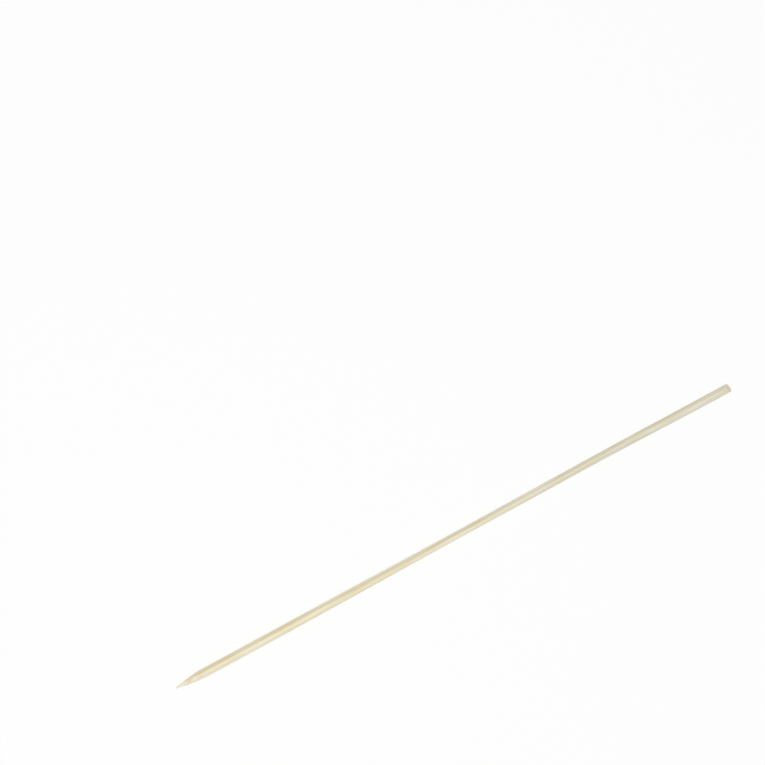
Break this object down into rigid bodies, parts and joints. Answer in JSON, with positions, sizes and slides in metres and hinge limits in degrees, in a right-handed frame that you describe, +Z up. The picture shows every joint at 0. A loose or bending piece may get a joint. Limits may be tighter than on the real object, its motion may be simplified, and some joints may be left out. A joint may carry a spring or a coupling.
{
  "type": "bamboo skewer",
  "caption": "Thin round bamboo stick, ground to a point at one end and sawn off at the other, for threading and grilling small pieces of food.",
  "frame": {"origin": "on the surface that the stick lies on, under the middle of its box", "axes": "+X runs along the stick from its point to its sawn butt, +Z is up from the surface, and the stick's slight bend stands out towards +Y"},
  "size_m": [0.2, 0.003, 0.0029],
  "materials": {
    "bamboo": "bare, unvarnished pale bamboo with fine lengthwise fibres"
  },
  "bodies": {
    "root": {"skewer": "bamboo"}
  },
  "joints": []
}
